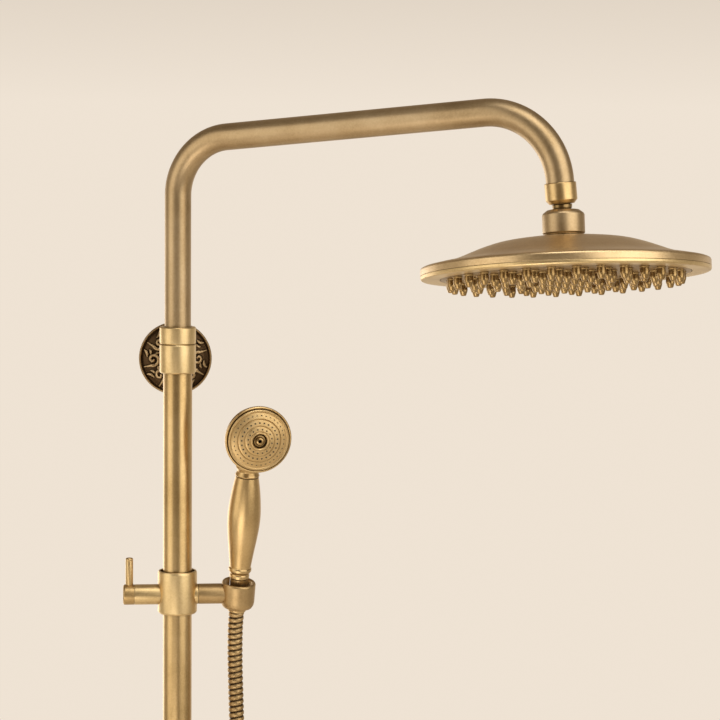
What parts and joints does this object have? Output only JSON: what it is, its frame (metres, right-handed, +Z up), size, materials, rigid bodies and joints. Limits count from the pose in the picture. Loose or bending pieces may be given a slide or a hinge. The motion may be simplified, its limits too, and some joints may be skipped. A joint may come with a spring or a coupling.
{
  "type": "rainfall shower column",
  "caption": "Wall-mounted antique brass shower column: swan-neck arm with a round rain head, sliding holder with a hand shower on a hose, and a two-handle mixer at its foot.",
  "frame": {"origin": "middle of the upper wall base's back face, on the wall plane", "axes": "+X to the right seen from the room, +Y into the wall, +Z up along the riser"},
  "size_m": [0.4995, 0.3196, 1.5466],
  "materials": {
    "antique_brass": "brushed satin with dark patina in the recesses",
    "polished_brass": "bright",
    "hose_brass": "satin spiral",
    "rubber_black": "matte",
    "nylon_white": "matte",
    "glazed_ceramic": "gloss",
    "steel": "brushed"
  },
  "bodies": {
    "column": {"upper_wall_base": "steel", "wall_screw_left": "steel", "wall_screw_right": "steel", "bracket_rosette": "antique_brass", "bracket_arm": "antique_brass", "bracket_collar": "antique_brass", "clamp_ring": "nylon_white", "lower_riser_tube": "antique_brass", "mixer_body": "antique_brass", "riser_union_nut": "antique_brass", "inlet_union_nut_hot": "antique_brass", "inlet_union_nut_cold": "antique_brass", "inlet_coupling_hot": "antique_brass", "inlet_coupling_cold": "antique_brass", "inlet_flange_hot": "antique_brass", "inlet_flange_cold": "antique_brass", "bonnet_hot": "antique_brass", "bonnet_cold": "antique_brass", "diverter_bonnet": "antique_brass", "hose_outlet_nipple": "antique_brass", "hose_nut_bottom": "antique_brass", "hose": "hose_brass"},
    "clamp_nut": {"collar_nut": "antique_brass"},
    "arm_guide": {"arm_guide_ring": "nylon_white"},
    "arm": {"arm_tube": "antique_brass", "arm_ferrule": "antique_brass", "swivel_ball": "polished_brass"},
    "ball_seat": {"swivel_seat_washer": "rubber_black"},
    "ball_ring": {"swivel_friction_ring": "nylon_white"},
    "rain_head": {"swivel_nut": "antique_brass", "head_dome": "antique_brass", "head_gasket": "rubber_black", "head_rim_ring": "antique_brass", "nozzle_plate": "polished_brass"},
    "slide_bush": {"slider_bush": "nylon_white"},
    "slider": {"slider_collar": "antique_brass", "holder_washer": "rubber_black", "holder_screw": "steel"},
    "lock": {"lock_spindle": "steel", "lock_cap": "antique_brass", "lock_lever_pin": "antique_brass"},
    "holder": {"holder_cup": "antique_brass"},
    "hose_end": {"hose_cone_nut": "antique_brass"},
    "handset": {"handset_handle": "antique_brass", "handset_neck_ring": "antique_brass", "handset_shell": "antique_brass", "handset_face": "antique_brass", "centre_jet": "polished_brass"},
    "hot_handle": {"spindle_hot": "polished_brass", "handle_hot": "antique_brass", "index_button_hot": "glazed_ceramic"},
    "cold_handle": {"spindle_cold": "polished_brass", "handle_cold": "antique_brass", "index_button_cold": "glazed_ceramic"},
    "diverter": {"diverter_spindle": "polished_brass", "diverter_knob": "antique_brass"}
  },
  "joints": [
    {"name": "collar_nut_turn", "type": "hinge", "parent": "column", "child": "clamp_nut", "pos_m": [0, -0.06, 0.022], "axis": [0, 0, 1], "range_deg": [0, 180]},
    {"name": "arm_height", "type": "slide", "parent": "column", "child": "arm_guide", "axis": [0, 0, 1], "range_m": [-0.09, 0.18]},
    {"name": "arm_swivel", "type": "hinge", "parent": "arm_guide", "child": "arm", "pos_m": [0, -0.06, 0.1], "axis": [0, 0, 1], "range_deg": [-139, 20]},
    {"name": "head_tilt_x", "type": "hinge", "parent": "arm", "child": "ball_seat", "pos_m": [0.26577, -0.21344, 0.11478], "axis": [1, 0, 0], "range_deg": [-10, 10]},
    {"name": "head_tilt_y", "type": "hinge", "parent": "ball_seat", "child": "ball_ring", "pos_m": [0.26577, -0.21344, 0.11478], "axis": [0, 1, 0], "range_deg": [-10, 10]},
    {"name": "head_spin", "type": "hinge", "parent": "ball_ring", "child": "rain_head", "pos_m": [0.26577, -0.21344, 0.11478], "axis": [-0.025, 0.139, 0.99], "continuous": true},
    {"name": "slider_height", "type": "slide", "parent": "column", "child": "slide_bush", "axis": [0, 0, 1], "range_m": [-0.5, 0.14], "deforming": ["hose"]},
    {"name": "slider_swivel", "type": "hinge", "parent": "slide_bush", "child": "slider", "pos_m": [0, -0.06, -0.1765], "axis": [0, 0, 1], "range_deg": [-60, 25]},
    {"name": "lock_turn", "type": "hinge", "parent": "slider", "child": "lock", "pos_m": [0, -0.06, -0.1765], "axis": [1, 0, 0], "range_deg": [0, 90]},
    {"name": "holder_tilt", "type": "hinge", "parent": "slider", "child": "holder", "pos_m": [0.0465, -0.06, -0.1765], "axis": [1, 0, 0], "range_deg": [-10, 25]},
    {"name": "handset_lift", "type": "slide", "parent": "holder", "child": "hose_end", "axis": [0.06, -0.178, 0.9822], "range_m": [0, 0.06]},
    {"name": "handset_turn", "type": "hinge", "parent": "hose_end", "child": "handset", "pos_m": [0.0465, -0.06, -0.1765], "axis": [0.06, -0.178, 0.9822], "range_deg": [-90, 90]},
    {"name": "hot_turn", "type": "hinge", "parent": "column", "child": "hot_handle", "pos_m": [-0.1, -0.06, -1], "axis": [-1, 0, 0], "range_deg": [0, 90]},
    {"name": "cold_turn", "type": "hinge", "parent": "column", "child": "cold_handle", "pos_m": [0.1, -0.06, -1], "axis": [1, 0, 0], "range_deg": [0, 90]},
    {"name": "diverter_turn", "type": "hinge", "parent": "column", "child": "diverter", "pos_m": [0, -0.1, -1], "axis": [0, -1, 0], "range_deg": [0, 90]}
  ]
}
